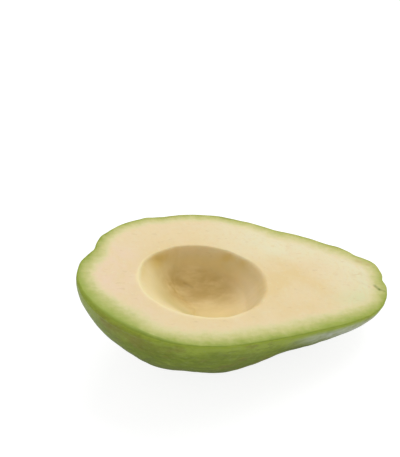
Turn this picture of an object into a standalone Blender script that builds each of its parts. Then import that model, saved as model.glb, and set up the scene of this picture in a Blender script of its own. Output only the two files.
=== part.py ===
"""Half an avocado, cut lengthwise with its seed taken out, lying on its skin with the cut face up.

The fruit grew as one piece, so it is one solid. It starts as a whole pear-shaped fruit with its length
along X, blossom end at -X and stem end at +X. The knife takes away everything above the plane z = 0,
the seed's hollow is cut from that face, and the half is laid down: its stem end drops, and it rests on
a small flat spot under its weight. Units are metres, +Z is up, and the origin is on the surface it lies
on, under the middle of its outline.
"""

import math

import bmesh
import bpy
from mathutils import Matrix, Vector

# Driving dimensions, in metres
LENGTH = 0.115
FAR_HALF_WIDTH = 0.0330  # from the fruit's long axis to the rim, on the +Y side
NEAR_HALF_WIDTH = 0.0307  # the same on the -Y side, where the knife left a little less
DEPTH = 0.0340  # from the cut face to the skin below it
NECK_DROP = math.radians(14.5)  # how far the stem end tips down when the half lies free
FOOT_DEPTH = 0.0005  # how much of the skin the flat spot takes away

# How each outline swells along the fruit: the shares of cos t, cos 2t, cos 3t and cos 4t in its half-width
FAR_SWELL = (0.154, -0.063, -0.073, 0.003)
NEAR_SWELL = (0.04, 0.06, -0.08, 0.00)
DEPTH_SWELL = (0.10, -0.08, -0.14, 0.04)

# The seed's hollow, as the knife left its rim on the cut face
HOLLOW_LENGTH = 0.0483
HOLLOW_WIDTH = 0.0352
HOLLOW_DEPTH = 0.0165
HOLLOW_CENTRE = Vector((-0.0122, -0.0002, 0.0))
HOLLOW_BOTTOM = Vector((0.0017, 0.0017, 0.0))  # where the deepest point lies from the middle of the rim
CUTTER_ABOVE = 0.004  # how far the seed's cutter stands out of the cut face

# The hollow's wall rises from the bottom with (1 - share to the round) to the edge, where share is how far
# out to the rim it is. It is steep, and rounds over into a lip that takes up this share of the way at the
# rim and is widest at the stem end, but round the blossom end it slopes gently. Directions about the
# hollow's middle are in degrees: 0 is the stem end, and 90 the far side.
STEEP_ROUND = 2.5
STEEP_EDGE = 0.70
STEEP_LIP = 0.16
WIDE_LIP = 0.27
WIDE_LIP_SIDE = -15
WIDE_LIP_REACH = 55
GENTLE_ROUND = 1.4
GENTLE_EDGE = 1.30
GENTLE_LIP = 0.02
GENTLE_SIDE = 192
GENTLE_REACH = 61

# Small forms of the skin: where each is, in the fruit's own frame, how far it reaches and how high it is
SKIN_MARKS = (
    (Vector((-0.0486, 0.0153, 0.0)), 0.0042, -0.0017),  # dent beside the blossom end
    (Vector((-0.0435, 0.0220, 0.0)), 0.0042, 0.0004),  # swelling next to the dent
    (Vector((-0.0360, 0.0280, 0.0)), 0.0070, 0.0005),  # swelling further along the far side
    (Vector((-0.0190, 0.0320, 0.0)), 0.0060, -0.0009),  # flat on the far side
    (Vector((-0.0200, -0.0215, -0.0233)), 0.0080, -0.0004),  # flat under the near side
    (Vector((-0.0050, -0.0234, -0.0208)), 0.0070, 0.0008),  # swelling under the near side
    (Vector((0.0170, -0.0222, -0.0142)), 0.0080, -0.0005),  # flat where the belly becomes the neck
    (Vector((0.0499, 0.0110, 0.0)), 0.0020, -0.0007),  # step before the stem end
    (Vector((0.0553, 0.0072, 0.0)), 0.0034, 0.0011),  # shoulder of the stem end
    (Vector((0.0570, -0.0010, 0.0)), 0.0020, -0.0011),  # crease between shoulder and stem button
)

AROUND = 56
ALONG = 44
HOLLOW_AROUND = 72
HOLLOW_RINGS = 28


def clear_scene():
    for obj in list(bpy.data.objects):
        bpy.data.objects.remove(obj, do_unlink=True)


def new_collection(name):
    collection = bpy.data.collections.new(name)
    bpy.context.scene.collection.children.link(collection)
    return collection


def new_object(name, bm, materials, collection):
    """An object that holds the bmesh and the materials in their slots."""
    mesh = bpy.data.meshes.new(name)
    bm.to_mesh(mesh)
    bm.free()
    for material in materials:
        mesh.materials.append(material)
    obj = bpy.data.objects.new(name, mesh)
    collection.objects.link(obj)
    return obj


def plain_material(name, colour, roughness):
    material = bpy.data.materials.new(name)
    material.use_nodes = True
    shader = material.node_tree.nodes["Principled BSDF"]
    shader.inputs["Base Color"].default_value = (*colour, 1.0)
    shader.inputs["Roughness"].default_value = roughness
    shader.inputs["Metallic"].default_value = 0.0
    return material


def swell(t, shares):
    """sin t, swelled by the shares of cos t, cos 2t and so on."""
    return math.sin(t) * (1.0 + sum(share * math.cos((i + 1) * t) for i, share in enumerate(shares)))


def outline(t, greatest, shares):
    """Half-width at t, scaled so that its largest value along the fruit is the greatest half-width."""
    peak = max(swell(math.pi * i / 180, shares) for i in range(181))
    return greatest * swell(t, shares) / peak


def skin_point(unit):
    """A point of the unit sphere moved to the fruit's skin.

    t runs from 0 at the blossom end to pi at the stem end, with x = -half the length times cos t. Across,
    the skin is half an ellipse below the cut face and its mirror image above it.
    """
    t = math.acos(max(-1.0, min(1.0, -unit.x)))
    around = math.hypot(unit.y, unit.z)
    if around < 1e-6:
        point = Vector((LENGTH / 2 * unit.x, 0.0, 0.0))
    else:
        far = outline(t, FAR_HALF_WIDTH, FAR_SWELL)
        near = outline(t, NEAR_HALF_WIDTH, NEAR_SWELL)
        depth = outline(t, DEPTH, DEPTH_SWELL)
        point = Vector((
            -LENGTH / 2 * math.cos(t),
            (far - near) / 2 + (far + near) / 2 * unit.y / around,
            depth * unit.z / around,
        ))
    outward = Vector((unit.x, unit.y, unit.z)).normalized()
    for centre, reach, height in SKIN_MARKS:
        point = point + outward * height * math.exp(-((point - centre).length / reach) ** 2)
    return point


def whole_fruit():
    """A UV sphere with its poles at the fruit's two ends, each vertex moved to the skin."""
    bm = bmesh.new()
    bmesh.ops.create_uvsphere(
        bm, u_segments=AROUND, v_segments=ALONG, radius=1.0, matrix=Matrix.Rotation(math.pi / 2, 4, "Y")
    )
    for vertex in bm.verts:
        vertex.co = skin_point(vertex.co.copy())
    return bm


def cut_flat(bm, point, normal, material_index):
    """Takes away what lies on the normal's side of a plane, and closes the cut with one flat face."""
    geometry = bm.verts[:] + bm.edges[:] + bm.faces[:]
    cut = bmesh.ops.bisect_plane(
        bm, geom=geometry, dist=1e-7, plane_co=point, plane_no=normal, clear_outer=True
    )
    rim = [item for item in cut["geom_cut"] if isinstance(item, bmesh.types.BMEdge)]
    filled = bmesh.ops.holes_fill(bm, edges=rim, sides=0)
    for face in filled["faces"]:
        face.material_index = material_index


def half_fruit():
    """The lower half of the fruit with its flat foot, in the fruit's own frame, and how high it lies."""
    bm = whole_fruit()
    cut_flat(bm, Vector((0.0, 0.0, 0.0)), Vector((0.0, 0.0, 1.0)), 1)
    up = Vector((-math.sin(NECK_DROP), 0.0, math.cos(NECK_DROP)))
    lowest = min((vertex.co for vertex in bm.verts), key=up.dot)
    foot = lowest + up * FOOT_DEPTH
    cut_flat(bm, foot, -up, 0)
    bmesh.ops.recalc_face_normals(bm, faces=bm.faces[:])
    for face in bm.faces:
        face.smooth = len(face.verts) < 5
    return bm, -up.dot(foot)


def nearness(direction, side, reach):
    """1 in the side's direction about the hollow, falling off with e to the minus (turn over reach)^4."""
    turn = (direction - side + 180) % 360 - 180
    return math.exp(-((turn / reach) ** 4))


def hollow_point(x, y):
    """A point of the unit circle moved to the hollow's surface; the circle itself is the rim.

    The lip takes the wall's depth times u (2 - u), where u runs from 0 at the rim to 1 at the lip's foot.
    """
    direction = math.degrees(math.atan2(y * HOLLOW_WIDTH, x * HOLLOW_LENGTH))
    gentle = nearness(direction, GENTLE_SIDE, GENTLE_REACH)
    wide = nearness(direction, WIDE_LIP_SIDE, WIDE_LIP_REACH)
    lip = STEEP_LIP + (GENTLE_LIP - STEEP_LIP) * gentle + (WIDE_LIP - STEEP_LIP) * wide
    share = min(1.0, math.hypot(x, y))
    u = min(1.0, (1.0 - share) / lip)
    wall = 1.0 - share ** (STEEP_ROUND + (GENTLE_ROUND - STEEP_ROUND) * gentle)
    depth = HOLLOW_DEPTH * wall ** (STEEP_EDGE + (GENTLE_EDGE - STEEP_EDGE) * gentle) * u * (2.0 - u)
    return Vector((x * HOLLOW_LENGTH / 2, y * HOLLOW_WIDTH / 2, -depth)) + HOLLOW_BOTTOM * (1.0 - share)


def seed_cutter():
    """A UV sphere whose lower half is the hollow, and whose upper half stands straight up out of the rim."""
    bm = bmesh.new()
    bmesh.ops.create_uvsphere(bm, u_segments=HOLLOW_AROUND, v_segments=HOLLOW_RINGS, radius=1.0)
    for vertex in bm.verts:
        x, y, z = vertex.co
        if z < -1e-6:
            point = hollow_point(x, y)
        else:
            point = Vector((x * HOLLOW_LENGTH / 2, y * HOLLOW_WIDTH / 2, CUTTER_ABOVE * (1.0 + z)))
        vertex.co = HOLLOW_CENTRE + point
    for face in bm.faces:
        face.smooth = True
        face.material_index = 1
    return bm


def place_on_surface(half, height):
    """An empty that tips the neck down, lifts the foot to z = 0 and centres the outline on the origin."""
    seat = bpy.data.objects.new("seat", None)
    bpy.context.scene.collection.objects.link(seat)
    turn = Matrix.Rotation(NECK_DROP, 4, "Y")
    corners = [turn @ vertex.co for vertex in half.data.vertices]
    middle_x = (min(p.x for p in corners) + max(p.x for p in corners)) / 2
    middle_y = (min(p.y for p in corners) + max(p.y for p in corners)) / 2
    seat.rotation_euler = (0.0, NECK_DROP, 0.0)
    seat.location = (-middle_x, -middle_y, height)
    return seat


def main():
    clear_scene()
    fruit = new_collection("avocado")
    cutters = new_collection("cutters")
    skin = plain_material("skin", (0.160, 0.200, 0.040), 0.42)
    flesh = plain_material("flesh", (0.800, 0.680, 0.430), 0.50)

    bm, height = half_fruit()
    half = new_object("avocado_half", bm, (skin, flesh), fruit)

    seed = new_object("seed_cutter", seed_cutter(), (skin, flesh), cutters)
    seed.hide_render = True
    seed.display_type = "WIRE"

    hollow = half.modifiers.new("hollow", "BOOLEAN")
    hollow.operation = "DIFFERENCE"
    hollow.object = seed

    seat = place_on_surface(half, height)
    half.parent = seat
    seed.parent = seat


main()
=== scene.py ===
import math

import bpy
import numpy as np
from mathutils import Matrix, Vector


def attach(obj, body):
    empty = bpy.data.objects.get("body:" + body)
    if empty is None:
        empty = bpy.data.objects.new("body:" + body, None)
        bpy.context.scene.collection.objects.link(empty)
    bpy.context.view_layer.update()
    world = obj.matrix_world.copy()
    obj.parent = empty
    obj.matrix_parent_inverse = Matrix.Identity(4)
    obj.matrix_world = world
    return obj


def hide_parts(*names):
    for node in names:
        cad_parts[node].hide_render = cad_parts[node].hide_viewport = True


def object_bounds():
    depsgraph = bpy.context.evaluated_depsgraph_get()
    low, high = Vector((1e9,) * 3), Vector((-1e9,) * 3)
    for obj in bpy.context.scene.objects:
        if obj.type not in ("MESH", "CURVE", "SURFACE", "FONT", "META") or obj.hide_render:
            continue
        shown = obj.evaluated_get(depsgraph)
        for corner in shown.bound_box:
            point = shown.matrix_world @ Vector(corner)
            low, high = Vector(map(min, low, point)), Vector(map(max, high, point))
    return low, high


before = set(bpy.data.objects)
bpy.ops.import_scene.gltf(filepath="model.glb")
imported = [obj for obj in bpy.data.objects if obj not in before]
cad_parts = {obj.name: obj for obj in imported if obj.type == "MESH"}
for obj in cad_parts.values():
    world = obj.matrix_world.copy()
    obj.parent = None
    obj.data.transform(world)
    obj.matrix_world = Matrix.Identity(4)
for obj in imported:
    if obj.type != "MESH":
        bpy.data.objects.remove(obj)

cad_low, cad_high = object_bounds()

# The avocado half
# Flesh and skin of a smooth green, pear-shaped avocado, grown as one piece. A knife has cut it lengthwise,
# the seed has been prised out, and the half lies on its skin with the stem end dropped.
# Lengths are in millimetres in the fruit's own frame: blossom end at -x, cut face at z = 0, far side at +y.
HALF_LENGTH = 57.5
NECK_DROP = math.radians(14.5)  # how far the stem end tips down when the half lies free
FOOT_DEPTH = 0.5  # how much of the skin its own weight presses flat underneath

# Each outline's greatest half-width, and the shares of cos t, cos 2t, cos 3t and cos 4t in how it swells
FAR_OUTLINE = (33.0, (0.154, -0.063, -0.073, 0.003))
NEAR_OUTLINE = (30.7, (0.04, 0.06, -0.08, 0.00))
UNDER_OUTLINE = (34.0, (0.10, -0.08, -0.14, 0.04))


def outline(t, greatest, shares):
    """Half-width at t, which runs from 0 at the blossom end to pi at the stem end.

    It is sin t, swelled by the shares of cos t, cos 2t and so on, and scaled to peak at the greatest width.
    """

    def swell(at):
        return np.sin(at) * (1 + sum(share * np.cos((i + 1) * at) for i, share in enumerate(shares)))

    return greatest * swell(t) / swell(np.linspace(0, np.pi, 181)).max()


def along(x):
    """The t of a place x along the fruit, where x is minus the half length times cos t."""
    return np.arccos(np.clip(-x / HALF_LENGTH, -1, 1))


def sideways(x, y):
    """How far (x, y) lies from the middle of the fruit to its rim: -1 on the near rim, 1 on the far one."""
    far, near = outline(along(x), *FAR_OUTLINE), outline(along(x), *NEAR_OUTLINE)
    return np.clip((y - (far - near) / 2) / np.maximum((far + near) / 2, 1e-6), -1, 1)


def skin_depth(x, y):
    """Depth of the skin under (x, y): half an ellipse across the fruit, as deep as the under outline."""
    return outline(along(x), *UNDER_OUTLINE) * np.sqrt(1 - sideways(x, y) ** 2)


def outward(points):
    """Direction away from the fruit's middle, as on the unit sphere that the fruit is drawn out from."""
    t = along(points[..., 0])
    across = sideways(points[..., 0], points[..., 1])
    return np.stack([-np.cos(t), np.sin(t) * across, -np.sin(t) * np.sqrt(1 - across**2)], -1)


def spot(points, centre, reach):
    """1 at the centre, fading with e to the minus (distance over reach) squared; reach may differ by axis."""
    return np.exp(-(((points - np.array(centre)) / np.array(reach)) ** 2).sum(-1))


def streak(points, start, end, reach):
    """1 on the line from start to end, fading away from it as a spot does."""
    start, run = np.array(start), np.subtract(end, start)
    share = np.clip((points - start) @ run / (run @ run), 0, 1)
    return np.exp(-((np.linalg.norm(points - start - share[:, None] * run, axis=1) / reach) ** 2))


def smooth(value, low, high):
    """0 below low, 1 above high, and an S-shaped rise between."""
    s = np.clip((value - low) / (high - low), 0, 1)
    return s * s * (3 - 2 * s)


# Small forms that the fruit grew with: where each is, how far it reaches and how high it stands
SKIN_MARKS = (
    ((-48.6, 15.3, 0.0), 4.2, -1.7),  # dent beside the blossom end
    ((-43.5, 22.0, 0.0), 4.2, 0.4),  # swelling next to the dent
    ((-51.5, 11.5, 0.0), 3.0, -0.3),  # flat before the dent
    ((-36.0, 28.0, 0.0), 7.0, 0.5),  # far rim, from here towards the stem
    ((-26.0, 31.0, 0.0), 2.2, 0.3),
    ((-19.0, 32.0, 0.0), 6.0, -0.9),
    ((2.0, 32.0, 0.0), 7.0, 0.55),
    ((12.0, 30.0, 0.0), 8.0, 0.2),
    ((22.5, 24.0, 0.0), 4.5, -0.5),
    ((44.0, 15.5, 0.0), 2.2, 0.35),
    ((49.9, 11.0, 0.0), 2.0, -0.7),  # step before the stem end
    ((55.3, 7.2, 0.0), 3.4, 1.1),  # shoulder of the stem end
    ((57.0, -1.0, 0.0), 2.0, -1.1),  # crease between shoulder and stem button
    ((-47.0, -12.0, -14.0), 5.0, 0.2),  # near side of the belly, from here towards the neck
    ((-30.0, -19.0, -21.5), 7.0, 0.35),
    ((-20.0, -21.5, -23.3), 8.0, -0.4),
    ((-5.0, -23.4, -20.8), 7.0, 0.8),
    ((17.0, -22.2, -14.2), 8.0, -0.5),
)

# Fine unevenness: how high each set of waves stands, how long its waves are, and the seed of their draw
SKIN_WAVES = ((0.10, 16.0, 21), (0.035, 5.0, 22))
LIP_WAVES = ((0.10, 9.0, 11), (0.03, 3.0, 12))
FACE_WAVES = ((0.05, 9.0, 31),)
WAVES_IN_A_SET = 24


def ripples(points, sets):
    """Height of the unevenness: for each set, the sum of cosine waves that run every way through space."""
    height = 0
    for high, length, seed in sets:
        draw = np.random.default_rng(seed)
        ways = draw.normal(size=(WAVES_IN_A_SET, 3))
        ways /= (np.linalg.norm(ways, axis=1) * length * draw.uniform(0.7, 1.4, WAVES_IN_A_SET))[:, None]
        phases = draw.uniform(0, 2 * np.pi, WAVES_IN_A_SET)
        waves = np.cos(2 * np.pi * points @ ways.T + phases).sum(-1) / math.sqrt(WAVES_IN_A_SET / 2)
        height = height + high * waves
    return height


def grown(points):
    """The points moved outward by the small forms and the fine unevenness of the skin."""
    height = sum(high * spot(points, centre, reach) for centre, reach, high in SKIN_MARKS)
    return points + outward(points) * (height + ripples(points, SKIN_WAVES))[..., None]


# The hollow that the seed left. Its wall slopes gently round the blossom end and is steep elsewhere, under a
# rounded lip that is widest at the stem end. Directions about its middle are in degrees: 0 is the stem end,
# and 90 the far side.
HOLLOW_CENTRE = np.array([-12.2, -0.2])
HOLLOW_HALF = np.array([24.15, 17.6])
HOLLOW_BOTTOM = np.array([-10.5, 1.5])
HOLLOW_DEPTH = 16.5
GENTLE_SIDE, GENTLE_REACH = 192, 61
WIDE_LIP_SIDE, WIDE_LIP_REACH = -15, 55
STEEP_ROUND, STEEP_EDGE = 2.5, 0.70
GENTLE_ROUND, GENTLE_EDGE = 1.4, 1.30
STEEP_LIP, GENTLE_LIP, WIDE_LIP = 0.16, 0.06, 0.27

# The knife's edge is rounded, on the far side, on the near side and near the blossom end. The cut face bends
# down a little before it, and the skin's first row lies a little below it.
FAR_ROUNDING, NEAR_ROUNDING, NEAR_BLOSSOM_ROUNDING = 0.5, 0.9, 2.2
FACE_BEND, FACE_BEND_REACH = 0.25, 1.5
SKIN_BELOW_EDGE = 0.7

# The surface is one grid. Its columns stand about the hollow's middle, and its rows run from the hollow's
# bottom out over the lip, the cut face and the rounded edge, and down the skin. Columns stand closer round
# the stem end, where the rim turns sharply: by this share, this far from the hollow's middle.
COLUMNS = 560
HOLLOW_ROWS, FACE_ROWS, EDGE_ROWS, SKIN_ROWS = 62, 46, 8, 58
STEM_CLOSENESS, STEM_DISTANCE, STEM_REACH = 1.2, 68, 12


def rim_columns():
    """Angles of the columns about the hollow's middle, and the plain rim's distance at each.

    The rim is the far and near outlines joined. Columns stand evenly along it but for the stem's closeness.
    """
    t = np.linspace(0, np.pi, 3001)
    x = -HALF_LENGTH * np.cos(t)
    far, near = outline(t, *FAR_OUTLINE), outline(t, *NEAR_OUTLINE)
    loop = np.concatenate([np.stack([x, -near], 1), np.stack([x, far], 1)[-2:0:-1]]) - HOLLOW_CENTRE
    angle = np.unwrap(np.arctan2(loop[:, 1], loop[:, 0]))
    reach = np.hypot(loop[:, 0], loop[:, 1])
    step = np.linalg.norm(loop - np.roll(loop, -1, 0), axis=1)
    step *= 1 + STEM_CLOSENESS * spot(loop[:, :1], STEM_DISTANCE, STEM_REACH)
    walked = np.append(0, np.cumsum(step))
    stops = np.arange(COLUMNS) / COLUMNS * walked[-1]
    columns = np.interp(stops, walked, np.append(angle, angle[0] + 2 * np.pi))
    return columns, np.interp(columns, angle, reach, period=2 * np.pi)


def at_face(plan):
    """The points of the cut face's plane at these places seen from above."""
    return np.concatenate([plan, 0 * plan[..., :1]], -1)


def facing(side, spread):
    """1 in columns that face the side, falling off with e to the minus (turn over spread) to the fourth."""
    turn = (np.degrees(angle) - side + 180) % 360 - 180
    return np.exp(-((turn / spread) ** 4))


def lip_outline():
    """The hollow's edge seen from above: an ellipse, which the unevenness moves in and out."""
    oval = HOLLOW_HALF.prod() / np.hypot(*(way * HOLLOW_HALF[::-1]).T)
    lip = HOLLOW_CENTRE + way * oval[:, None]
    return lip + way * ripples(at_face(lip), LIP_WAVES)[:, None]


def hollow_depth(share):
    """Depth of the hollow at a share of the way out to its lip.

    It is the full depth times (1 - share to the round) to the edge, eased to nothing over the lip's share.
    """
    wide = facing(WIDE_LIP_SIDE, WIDE_LIP_REACH)
    lip_share = STEEP_LIP + (GENTLE_LIP - STEEP_LIP) * gentle + (WIDE_LIP - STEEP_LIP) * wide
    wall = 1 - share ** (STEEP_ROUND + (GENTLE_ROUND - STEEP_ROUND) * gentle)
    wall = wall ** (STEEP_EDGE + (GENTLE_EDGE - STEEP_EDGE) * gentle)
    return HOLLOW_DEPTH * wall * smooth(1 - share, 0, lip_share)


def skin_rows():
    """Rows from just below the rounded edge in under the fruit, at the depth of the skin there."""
    first_down = np.arcsin((rounding + SKIN_BELOW_EDGE) / UNDER_OUTLINE[0])
    down = first_down + (np.pi / 2 - first_down) * np.linspace(0, 1, SKIN_ROWS + 1)[:-1, None]
    plan = HOLLOW_CENTRE + np.cos(down)[..., None] * (plain_rim[:, :2] - HOLLOW_CENTRE)
    return np.concatenate([plan, -skin_depth(plan[..., 0], plan[..., 1])[..., None]], -1)


def edge_rows():
    """Rows of a quarter round from the edge of the cut face out to the rim and down by the rounding."""
    over = np.linspace(0, np.pi / 2, EDGE_ROWS + 1)[1:, None]
    rows = rim_top + (rim - rim_top) * np.sin(over)[..., None]
    rows[..., 2] -= rounding * (1 - np.cos(over))
    return rows


def face_rows():
    """Rows across the cut face from the lip to the rounded edge, and each point's distance from the rim.

    The rows stand closer at both ends. The face is uneven except at the lip, and bends down before the rim
    with e to the minus (distance over reach).
    """
    across = (1 - np.cos(np.linspace(0, np.pi, FACE_ROWS + 1)[1:, None, None])) / 2
    face = at_face(lip) + (rim_top - at_face(lip)) * across
    rim_plan = rim[None, ::2, :2]
    from_rim = np.array([np.linalg.norm(row[:, None, :2] - rim_plan, axis=2).min(1) for row in face])
    face[..., 2] += ripples(face, FACE_WAVES) * smooth(across[..., 0], 0, 0.15)
    face[..., 2] -= FACE_BEND * np.exp(-from_rim / FACE_BEND_REACH)
    return face, from_rim


def laid_down(points):
    """From the fruit's own frame to the part's, in metres: tipped, lowered on its foot and centred."""
    x, y, z = points.T
    tipped = np.stack([
        x * math.cos(NECK_DROP) + z * math.sin(NECK_DROP),
        y,
        z * math.cos(NECK_DROP) - x * math.sin(NECK_DROP),
    ], -1) / 1000
    middle = (tipped.min(0) + tipped.max(0)) / 2
    cad_middle = (cad_low + cad_high) / 2
    tipped += [cad_middle.x - middle[0], cad_middle.y - middle[1], -tipped[:, 2].min() - FOOT_DEPTH / 1000]
    tipped[:, 2] = np.maximum(tipped[:, 2], 0)
    return tipped


def closed_mesh(name, points, around):
    """Mesh of rings of points, each joined to the next by quads.

    The last two points are the ends: a fan of triangles joins the first ring to one, and another joins the
    last ring to the other.
    """
    first_end = len(points) - 2
    ring = np.arange(around)
    after = np.roll(ring, -1)
    first = np.arange(first_end // around - 1)[:, None] * around
    quads = np.stack([first + ring, first + around + ring, first + around + after, first + after], -1)
    last = first_end - around
    start_fan = np.stack([np.full(around, first_end), ring, after], -1)
    end_fan = np.stack([np.full(around, first_end + 1), last + after, last + ring], -1)
    mesh = bpy.data.meshes.new(name)
    faces = quads.reshape(-1, 4).tolist() + start_fan.tolist() + end_fan.tolist()
    mesh.from_pydata(points.tolist(), [], faces)
    mesh.shade_smooth()
    return mesh


angle, rim_reach = rim_columns()
way = np.stack([np.cos(angle), np.sin(angle)], 1)
near_rim = smooth(-way[:, 1], -0.2, 0.4)
rounding = FAR_ROUNDING + (NEAR_ROUNDING - FAR_ROUNDING) * near_rim
rounding += (NEAR_BLOSSOM_ROUNDING - NEAR_ROUNDING) * near_rim * smooth(-way[:, 0], 0.3, 0.9)
plain_rim = at_face(HOLLOW_CENTRE + way * rim_reach[:, None])
rim = grown(plain_rim)
rim_top = rim - at_face(way) * rounding[:, None]

gentle = facing(GENTLE_SIDE, GENTLE_REACH)
lip = lip_outline()
share = np.sin(np.linspace(0, np.pi / 2, HOLLOW_ROWS + 1)[1:, None])
depth = hollow_depth(share)
hollow = np.concatenate([HOLLOW_BOTTOM + share[..., None] * (lip - HOLLOW_BOTTOM), -depth[..., None]], -1)
face, from_rim = face_rows()
rows = np.concatenate([hollow, face, edge_rows(), grown(skin_rows())])
ends = [[*HOLLOW_BOTTOM, -HOLLOW_DEPTH], [*HOLLOW_CENTRE, -skin_depth(*HOLLOW_CENTRE)]]
grown_points = np.concatenate([rows.reshape(-1, 3), ends])

mesh = closed_mesh("cut_avocado", laid_down(grown_points), COLUMNS)
avocado = bpy.data.objects.new("cut_avocado", mesh)
bpy.context.collection.objects.link(avocado)


# What the two materials read: numbers kept at the mesh's points
def paint(name, values):
    """Keeps one number, or one place in space, at every point of the mesh for the materials to read."""
    values = np.asarray(values, dtype=np.float32)
    kind, field = ("FLOAT", "value") if values.ndim == 1 else ("FLOAT_VECTOR", "vector")
    attribute = mesh.attributes.new(name, kind, "POINT")
    attribute.data.foreach_set(field, values.ravel())


def over_mesh(in_hollow, on_face, at_bottom):
    """A number for every point: as given in the hollow, on the cut face and at the bottom, 0 on the skin."""
    in_hollow = np.broadcast_to(in_hollow, (HOLLOW_ROWS, COLUMNS))
    on_face = np.broadcast_to(on_face, (FACE_ROWS, COLUMNS))
    on_skin = np.zeros((EDGE_ROWS + SKIN_ROWS, COLUMNS))
    return np.concatenate([in_hollow.ravel(), on_face.ravel(), on_skin.ravel(), [at_bottom, 0.0]])


def spots(*several):
    """The sum of soft spots, each given by its centre, its reach along each axis and its strength.

    A spot with two coordinates is the same at every height, as a tint of the cut face is.
    """
    return sum(
        strength * spot(grown_points[:, : len(centre)], centre, reach)
        for centre, reach, strength in several
    )


# The hollow lies too far from the rim for any green, and its mean half-width turns shares of the way from
# its middle to its lip into millimetres.
FAR_FROM_RIM = 40.0
MEAN_HALF = 20

x, y, z = grown_points.T
plan = grown_points[:, :2]
from_lip = (np.hypot(*((plan - HOLLOW_CENTRE) / HOLLOW_HALF).T) - 1) * MEAN_HALF
toward = np.arctan2(y - HOLLOW_CENTRE[1], x - HOLLOW_CENTRE[0])
near_side = smooth(-np.sin(toward), -0.15, 0.45)
blossom = smooth(-np.cos(toward), 0.70, 1.0)
near_neck = smooth(x, 12, 30) * near_side
far_neck = smooth(x, 5, 25) * (1 - near_side)
tip = spot(plan, (57, -2), (7, 8))
paint("fruit", grown_points)

# The green band inside the skin: its width, how far along its fade it starts, and how lime it is
rind = over_mesh(FAR_FROM_RIM, from_rim, FAR_FROM_RIM)
band = 5.0 + 4.5 * near_side * (1 + 0.3 * blossom) + 2.8 * blossom + 3.5 * tip + 1.5 * far_neck
light_start = 0.13 * (1 - near_side) * (1 - 0.6 * blossom) + 0.07 * far_neck + 0.06 * tip
limed = 0.8 * blossom * smooth(-np.sin(toward), -0.4, 0.1) + 0.45 * near_neck + 0.35 * tip
paint("inward", np.clip(rind / band * (1 - light_start) + light_start, 0, 2))
paint("lime", np.clip(limed, 0, 1))

# The tints of the cut face: honey round the hollow and in streaks towards the neck, pink, pale and leafy
honeyed = 0.8 * np.exp(-np.maximum(from_lip, 0) / 7) + 0.7 * streak(plan, (17, 11), (32, -6), 3.5)
honeyed += 0.8 * streak(plan, (13, -3), (20, 1), 4.0) + 0.5 * streak(plan, (14, -16), (38, -10), 4.0)
paint("honeyed", honeyed)
paint("pink", spots(((-45, 8), (11, 13), 1.0), ((-38, -12), (9, 9), 0.4)))
paint("pale", np.clip(smooth(y, 5, 16) * smooth(x, -15, 20) + smooth(x, 30, 48), 0, 1))
paint("leaf", spots(((45, -11), (9, 5), 1.0), ((50, -2), (6, 6), 0.3)))
paint("root", spot(plan, (47, 1.8), (2.8, 1.3)))
paint("seam", streak(plan, (49.5, 8.6), (53.5, 6.6), 0.9))

# The hollow: the seed's bed, which starts lower on the gentle slope and the far wall, its stains and painted
# shade, painted light on the stem-side wall and a painted highlight on the lip
lower = gentle + smooth(way[:, 1], 0.3, 0.9)
touched = smooth(depth / HOLLOW_DEPTH, 0.02 + 0.05 * lower, 0.44 + 0.14 * lower)
paint("bed", over_mesh(touched, 0.0, 1.0))
paint("on_slope", over_mesh(gentle, 0.0, 0.0))
paint("stain", smooth(y + 0.45 * (x + 12), -9, 6))
# Brown stain of the seed, deepened with depth, towards the far wall and at the left as painted shade, and
# lifted off the stem-side wall
stain_and_shade = smooth(-z, 5, 12) * (0.15 + 0.85 * smooth(y, -3, 8))
stain_and_shade += 0.6 * spot(grown_points, (-25, 9, -5), (6, 4, 4))
paint("deep_stain", stain_and_shade * (1 - 0.9 * spot(grown_points, (11, 1, -7), (8, 10, 7))))
# A pale grey tint with painted light on the stem-side wall
paint("grey", spot(grown_points, (11, -1, -7), (8, 14, 8)))
golden = spots(
    ((-34, 6, -1), (3, 5, 3), 0.7),
    ((-27, 13, -3), (7, 4, 3), 0.9),
    ((1, 13, -3), (3, 2, 3), 0.8),
    ((6, 10, -2), (3, 2, 2), 0.6),
)
paint("golden", golden * smooth(-z, 0.1, 1.0))
# A painted highlight along the lip on the near and blossom sides, and a broader, fainter one just inside it
lip_line = np.exp(-(((from_lip + 0.4) / 0.8) ** 2))
lip_line += 0.5 * np.exp(-(((from_lip + 2.0) / 3.0) ** 2)) * (z < 0)
paint("lip_line", np.clip(lip_line, 0, 1) * smooth(-np.sin(toward + 0.7), 0.0, 0.6))

# The skin: how far below the cut it lies, and where it is brighter, younger, rusty, darker with painted
# shade, or pale with bloom and a painted sheen
under_neck = smooth(-z, 5, 10) * (1 - smooth(x, 30, 45))
paint("below", -z)
paint("bright_edge", 0.3 + 0.7 * smooth(x, -38, -14))
paint("young", spot(grown_points, (-56, -4, -4), (10, 14, 14)))
paint("rust", spots(((-50, -16, -3), (6, 5, 3), 1.0), ((-39, -24, -4), (9, 4, 3), 0.8)))
# Painted shade under the neck
paint("under_neck", smooth(x, 5, 20) * under_neck)
paint("bloom", smooth(x, 8, 34) * smooth(-z, 0.8, 3.2) * (1 - under_neck))


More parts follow.
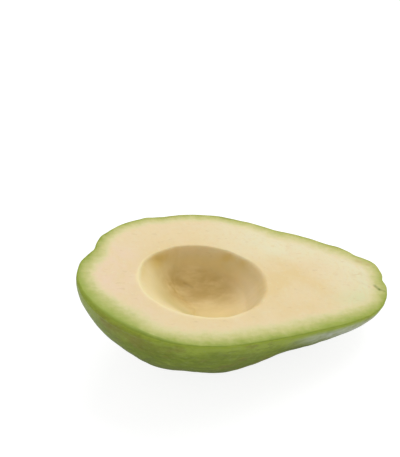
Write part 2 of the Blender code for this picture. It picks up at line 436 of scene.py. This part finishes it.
class Wire:
    """A shader socket. An expression on wires and numbers adds the Math nodes that work it out."""

    def __init__(self, tree, socket=None):
        self.tree = tree
        self.socket = socket

    def node(self, kind, settings=None, sockets=None, output=0):
        """Adds a node: its settings or ramp stops first, then a value or a wire for each named socket."""
        made = self.tree.nodes.new(kind)
        for name, value in (settings or {}).items():
            if name == "stops":
                ramp = made.color_ramp
                while len(ramp.elements) < len(value):
                    ramp.elements.new(1.0)
                for element, (position, colour) in zip(ramp.elements, value):
                    element.position = position
                    element.color = (*colour, 1.0)
            else:
                setattr(made, name, value)
        for name, value in (sockets or {}).items():
            if isinstance(value, Wire):
                self.tree.links.new(value.socket, made.inputs[name])
            elif isinstance(value, tuple) and made.inputs[name].type == "RGBA":
                made.inputs[name].default_value = (*value, 1.0)
            else:
                made.inputs[name].default_value = value
        return None if output is None else Wire(self.tree, made.outputs[output])

    def math(self, operation, *values):
        """A Math node on these wires and numbers."""
        return self.node("ShaderNodeMath", {"operation": operation}, dict(enumerate(values)))

    def __add__(self, other):
        return self.math("ADD", self, other)

    def __sub__(self, other):
        return self.math("SUBTRACT", self, other)

    def __rsub__(self, other):
        return self.math("SUBTRACT", other, self)

    def __mul__(self, other):
        return self.math("MULTIPLY", self, other)

    __radd__ = __add__
    __rmul__ = __mul__

    def rise(self, low, high):
        """0 below low, 1 above high and an S-shaped rise between; a high below low turns it round."""
        limits = {"Value": self, "From Min": low, "From Max": high}
        return self.node("ShaderNodeMapRange", {"interpolation_type": "SMOOTHSTEP"}, limits)

    def mix(self, share, under, over):
        """The colour over laid on the colour under, as thick as the share."""
        return self.node("ShaderNodeMix", {"data_type": "RGBA"}, {0: share, 6: under, 7: over}, 2)

    def number(self, name):
        """A number kept at the mesh's points."""
        return self.node("ShaderNodeAttribute", {"attribute_name": name}, output=2)

    def place(self, stretch=(1.0, 1.0, 1.0)):
        """The point in the fruit's own frame, in millimetres, scaled along each axis."""
        at = self.node("ShaderNodeAttribute", {"attribute_name": "fruit"}, output=1)
        return self.node("ShaderNodeVectorMath", {"operation": "MULTIPLY"}, {0: at, 1: stretch})

    def noise(self, place, size, detail=2.0, roughness=0.5):
        """Soft noise from 0 to 1 whose blots are about the size across."""
        sockets = {"Vector": place, "Scale": 1.0 / size, "Detail": detail, "Roughness": roughness}
        return self.node("ShaderNodeTexNoise", {}, sockets)

    def stroke(self, start, end, width):
        """A soft line in the fruit's own frame: 1 along the line from start to end, 0 a width away."""
        run = np.subtract(end, start)
        length = float(run @ run)
        here = self.node("ShaderNodeVectorMath", {"operation": "SUBTRACT"}, {0: self.place(), 1: start})
        ahead = self.node("ShaderNodeVectorMath", {"operation": "DOT_PRODUCT"}, {0: here, 1: tuple(run)}, 1)
        share = self.node("ShaderNodeClamp", {}, {"Value": ahead * (1 / length)})
        foot = self.node("ShaderNodeVectorMath", {"operation": "SCALE"}, {0: tuple(run), "Scale": share})
        away = self.node("ShaderNodeVectorMath", {"operation": "DISTANCE"}, {0: here, 1: foot}, 1)
        return away.rise(width, 0.0)

    def finish(self, relief, strength, settings, sockets):
        """The surface: a Principled shader with these sockets, uneven by the relief in millimetres."""
        bump = self.node("ShaderNodeBump", {}, {"Height": relief, "Strength": strength, "Distance": 0.001})
        surface = self.node("ShaderNodeBsdfPrincipled", settings, {**sockets, "Normal": bump})
        self.node("ShaderNodeOutputMaterial", {}, {"Surface": surface}, None)


def srgb(red, green, blue):
    """A colour as a screen shows it, from 0 to 255, as the linear light that Blender works in."""
    shares = np.array([red, green, blue]) / 255
    return tuple(np.where(shares <= 0.04045, shares / 12.92, ((shares + 0.055) / 1.055) ** 2.4).tolist())


def bare_material(name):
    """A material without nodes, and the wire that its nodes are added with."""
    material = bpy.data.materials.new(name)
    material.use_nodes = True
    material.node_tree.nodes.clear()
    return material, Wire(material.node_tree)


def flesh_material():
    """Cut flesh: cream, warmer round the hollow, green towards the skin, tan and dull where the seed sat."""
    cream = srgb(233, 213, 170)
    honey = srgb(229, 204, 148)
    pink = srgb(236, 208, 182)
    pale = srgb(232, 223, 184)
    leaf = srgb(214, 215, 162)
    thread = srgb(212, 186, 138)
    lime = srgb(155, 172, 58)
    butter = srgb(238, 219, 163)
    straw = srgb(216, 198, 138)
    tan = srgb(235, 211, 154)
    # brown is the seed's stain and also painted shade deep in the hollow
    brown = srgb(180, 148, 70)
    # dove is a pale grey, and it is painted light on the stem-side wall
    dove = srgb(246, 229, 194)
    gold = srgb(218, 186, 98)
    # lip is the colour of the painted highlight on the hollow's lip
    lip = srgb(242, 226, 176)
    bruise = srgb(140, 112, 58)
    olive = srgb(110, 124, 14)
    inward_from_skin = [
        (0.00, srgb(133, 150, 42)),
        (0.16, srgb(158, 170, 66)),
        (0.40, srgb(197, 195, 121)),
        (0.65, srgb(219, 210, 153)),
        (1.00, cream),
    ]

    material, net = bare_material("avocado_flesh")
    blots = net.noise(net.place(), 9.0, 3.0)
    ridges = net.noise(net.place((0.4, 1.0, 1.0)), 3.0, 3.0)
    ragged = net.noise(net.place(), 2.4, 2.0, 0.6)
    grain = net.noise(net.place(), 1.6, 3.0, 0.6)
    fibres = net.noise(net.place((0.35, 1.0, 1.0)), 1.3, 2.0)

    # The cut face's tints, its grain and its fibres
    colour = net.mix(net.number("honeyed") * blots.rise(0.1, 0.6), cream, honey)
    colour = net.mix(net.number("pink") * blots.rise(0.75, 0.3), colour, pink)
    colour = net.mix(net.number("pale") * blots.rise(0.1, 0.6), colour, pale)
    colour = net.mix(net.number("leaf") * 0.8, colour, leaf)
    colour = net.mix(grain.rise(0.5, 0.7) * 0.35, colour, honey)
    colour = net.mix(grain.rise(0.45, 0.25) * 0.35, colour, pale)
    colour = net.mix(fibres.rise(0.62, 0.76) * 0.4, colour, thread)

    # The green band, whose inner edge the noise breaks up
    inward = net.number("inward") + (fibres - 0.5) * 0.2 + (blots - 0.5) * 0.3 + (ragged - 0.5) * 0.25
    rind_colour = net.node("ShaderNodeValToRGB", {"stops": inward_from_skin}, {"Fac": inward})
    colour = net.mix(inward.rise(1.0, 0.6), colour, rind_colour)
    colour = net.mix(inward.rise(0.8, 0.1) * net.number("lime") * 0.7, colour, lime)

    # The hollow, from the buttery slope to the stained bed of the seed, with painted shade deep in it,
    # painted light on the stem-side wall and a painted highlight on its lip
    bed = net.number("bed")
    stain = bed * net.number("stain")
    deep_stain = bed * net.number("deep_stain")
    colour = net.mix(net.number("on_slope") * 0.8, colour, butter)
    colour = net.mix(bed, colour, straw)
    colour = net.mix(stain * blots.rise(0.1, 0.5), colour, tan)
    # The seed's brown stain, deepened with depth as painted shade
    colour = net.mix(deep_stain * ridges.rise(0.0, 0.7) * 0.75, colour, brown)
    # Pale grey tint and painted light on the stem-side wall
    colour = net.mix(net.number("grey") * bed * 0.9, colour, dove)
    colour = net.mix(net.number("golden") * blots.rise(0.2, 0.6), colour, gold)
    # The painted highlight along the lip
    colour = net.mix(net.number("lip_line") * 0.65, colour, lip)

    # A scar in the hollow's bottom, and the crease, vein, seam and root of the stem
    scar = net.stroke((-13.6, 11.4, -13.6), (-10.4, 10.2, -14.6), 1.1)
    crease = net.stroke((52.3, -4.0, 0.0), (53.4, -5.6, 0.0), 1.2) * ragged.rise(0.0, 0.5)
    crease = crease + net.stroke((53.4, -5.6, 0.0), (55.2, -6.4, 0.0), 0.9) * ragged.rise(0.1, 0.6) * 0.7
    vein = net.stroke((45.1, -0.7, 0.0), (49.8, -4.4, 0.0), 0.9) * ragged.rise(0.3, 0.6)
    colour = net.mix(scar * 0.5, colour, bruise)
    colour = net.mix(crease * 0.6, colour, olive)
    colour = net.mix(vein * 0.35, colour, thread)
    colour = net.mix(net.number("seam") * ragged.rise(0.3, 0.6) * 0.4, colour, brown)
    colour = net.mix(net.number("root") * ragged.rise(0.35, 0.65) * 0.5, colour, thread)

    relief = grain * 0.05 + fibres * 0.04 + ridges * bed.rise(0.05, 0.3) * 0.08
    relief = relief - scar * 0.2 - crease * 0.15 - vein * 0.03
    moist = {
        "Base Color": colour,
        "Roughness": 0.42 + grain * 0.16 + bed.rise(0.0, 0.3) * 0.1,
        "Subsurface Weight": 0.2,
        "Subsurface Radius": (1.0, 0.7, 0.3),
        "Subsurface Scale": 0.003,
        "Specular IOR Level": 0.4,
    }
    net.finish(relief, 1.0, {"subsurface_method": "RANDOM_WALK"}, moist)
    return material


def skin_material():
    """Thin satin skin: bright green at the cut, olive lower down, mottled, with fine streaks along it."""
    lime = srgb(163, 181, 58)
    green = srgb(122, 141, 12)
    deep = srgb(98, 112, 6)
    brown = srgb(138, 126, 50)
    rust = srgb(134, 125, 46)
    young = srgb(156, 178, 76)
    # This silver is a painted sheen over the skin's pale bloom
    silver_sheen = srgb(214, 217, 212)
    fleck = srgb(160, 174, 92)

    material, net = bare_material("avocado_skin")
    clouds = net.noise(net.place((0.7, 1.0, 1.0)), 9.0, 4.0, 0.6)
    streaks = net.noise(net.place((0.12, 1.0, 1.0)), 1.4, 4.0, 0.65)
    patches = net.noise(net.place((0.6, 1.0, 1.0)), 5.0, 4.0, 0.6)
    speckle = net.noise(net.place((0.6, 1.0, 1.0)), 1.5, 3.0, 0.7)
    pores = net.noise(net.place(), 0.9, 2.0)
    flecks = net.node("ShaderNodeTexVoronoi", {}, {"Vector": net.place((0.6, 1.0, 1.0)), "Scale": 0.45})

    # The green, deeper with the distance below the cut, and its mottling
    below = net.number("below") + (clouds - 0.5) * 14.0 + (streaks - 0.5) * 6.0
    colour = net.mix(below.rise(1.0, 8.0), lime, green)
    colour = net.mix(below.rise(9.0, 26.0), colour, deep)
    colour = net.mix(streaks.rise(0.5, 0.7) * 0.5, colour, lime)
    colour = net.mix(streaks.rise(0.5, 0.3) * 0.5, colour, deep)
    colour = net.mix(patches.rise(0.52, 0.66) * 0.45, colour, brown)
    colour = net.mix(speckle.rise(0.5, 0.3) * 0.45, colour, deep)

    # Parts of the skin that differ, painted shade under the neck, the bright line along the cut, the pale
    # bloom with a painted sheen, and the flecks
    # Painted shade under the neck
    colour = net.mix(net.number("under_neck") * 0.6, colour, deep)
    colour = net.mix(net.number("young") * 0.28, colour, young)
    colour = net.mix(net.number("rust") * patches.rise(0.25, 0.5) * 0.85, colour, rust)
    edge = net.number("below") + (patches - 0.5) * 6.0 + (speckle - 0.5) * 5.0
    colour = net.mix(edge.rise(2.4, 0.8) * net.number("bright_edge") * 0.8, colour, lime)
    # The pale bloom, with a painted sheen
    colour = net.mix(net.number("bloom") * patches.rise(0.8, 0.3) * 0.9, colour, silver_sheen)
    colour = net.mix(speckle.rise(0.5, 0.75) * 0.4, colour, fleck)
    colour = net.mix(flecks.rise(0.22, 0.1) * 0.3, colour, fleck)

    relief = pores * 0.06 + streaks * 0.08 + patches * 0.3 + speckle * 0.08
    satin = {"Base Color": colour, "Roughness": 0.34 + streaks * 0.12, "Specular IOR Level": 0.32}
    net.finish(relief, 0.8, {}, satin)
    return material


# The skin starts at the foot of the rounded edge on the far side, and half way over it on the near side
mesh.materials.append(flesh_material())
mesh.materials.append(skin_material())
first_skin = HOLLOW_ROWS + FACE_ROWS + np.round(EDGE_ROWS * (1 - 0.5 * near_rim))
is_skin = np.arange(len(rows))[1:, None] >= first_skin
slots = np.concatenate([is_skin.ravel(), np.zeros(COLUMNS), np.ones(COLUMNS)]).astype(np.int32)
mesh.polygons.foreach_set("material_index", slots)
mesh.update()

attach(avocado, "root")
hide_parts("avocado_half")


# The table and the light
# The fruit lies on a white table, which throws light back up at it. A sheet of paper over the table, so
# brightly lit that almost no shadow shows on it, is what the camera sees. A wide soft lamp hangs behind.
def flat_sheet(name, height, whiteness, glow):
    """A matt square sheet of this height and whiteness, which may also glow."""
    bpy.ops.mesh.primitive_plane_add(size=4.0, location=(0, 0, height))
    sheet = bpy.context.object
    sheet.name = name
    finish = bpy.data.materials.new(name)
    finish.use_nodes = True
    board = finish.node_tree.nodes["Principled BSDF"]
    board.inputs["Base Color"].default_value = (whiteness, whiteness, whiteness, 1.0)
    board.inputs["Roughness"].default_value = 0.9
    board.inputs["Specular IOR Level"].default_value = 0.0
    board.inputs["Emission Color"].default_value = (1.0, 1.0, 1.0, 1.0)
    board.inputs["Emission Strength"].default_value = glow
    sheet.data.materials.append(finish)
    return sheet


table = flat_sheet("table", height=-0.0005, whiteness=0.85, glow=0.0)
table.visible_camera = False
paper = flat_sheet("paper", height=0.0, whiteness=0.3, glow=0.85)
paper.visible_diffuse = False
paper.visible_glossy = False
paper.visible_shadow = False

ROOM_LIGHT = 0.54
world = bpy.data.worlds.new("pale_room")
world.use_nodes = True
world.node_tree.nodes["Background"].inputs["Color"].default_value = (1.0, 1.0, 1.0, 1.0)
world.node_tree.nodes["Background"].inputs["Strength"].default_value = ROOM_LIGHT
bpy.context.scene.world = world


def soft_lamp(name, place, size, power):
    """A square lamp that faces the fruit."""
    lamp = bpy.data.lights.new(name, "AREA")
    lamp.size = size
    lamp.energy = power
    holder = bpy.data.objects.new(name, lamp)
    holder.location = place
    holder.rotation_euler = (-Vector(place)).to_track_quat("-Z", "Y").to_euler()
    bpy.context.collection.objects.link(holder)


soft_lamp("overhead_lamp", place=(0.42, 0.5, 1.12), size=1.0, power=9.3)

# The camera
# It looks down on the cut face with the stem end to the right and a little nearer.
CAMERA_AZIMUTH = math.radians(-14.25)
CAMERA_HEIGHT = math.radians(46.43)
CAMERA_DISTANCE = 0.5831
CAMERA_TARGET = Vector((0.0012, 0.0546, 0.0))
LONG_SIDE_PIXELS = 457
FOCAL_PIXELS = 1500

camera_data = bpy.data.cameras.new("camera")
camera_data.sensor_width = 36.0
camera_data.lens = camera_data.sensor_width * FOCAL_PIXELS / LONG_SIDE_PIXELS
camera_data.clip_start = 0.05
back = Vector((
    math.sin(CAMERA_AZIMUTH) * math.cos(CAMERA_HEIGHT),
    -math.cos(CAMERA_AZIMUTH) * math.cos(CAMERA_HEIGHT),
    math.sin(CAMERA_HEIGHT),
))
camera = bpy.data.objects.new("camera", camera_data)
camera.location = CAMERA_TARGET + back * CAMERA_DISTANCE
camera.rotation_euler = (-back).to_track_quat("-Z", "Y").to_euler()
bpy.context.collection.objects.link(camera)
bpy.context.scene.camera = camera
bpy.context.scene.view_settings.view_transform = "Standard"
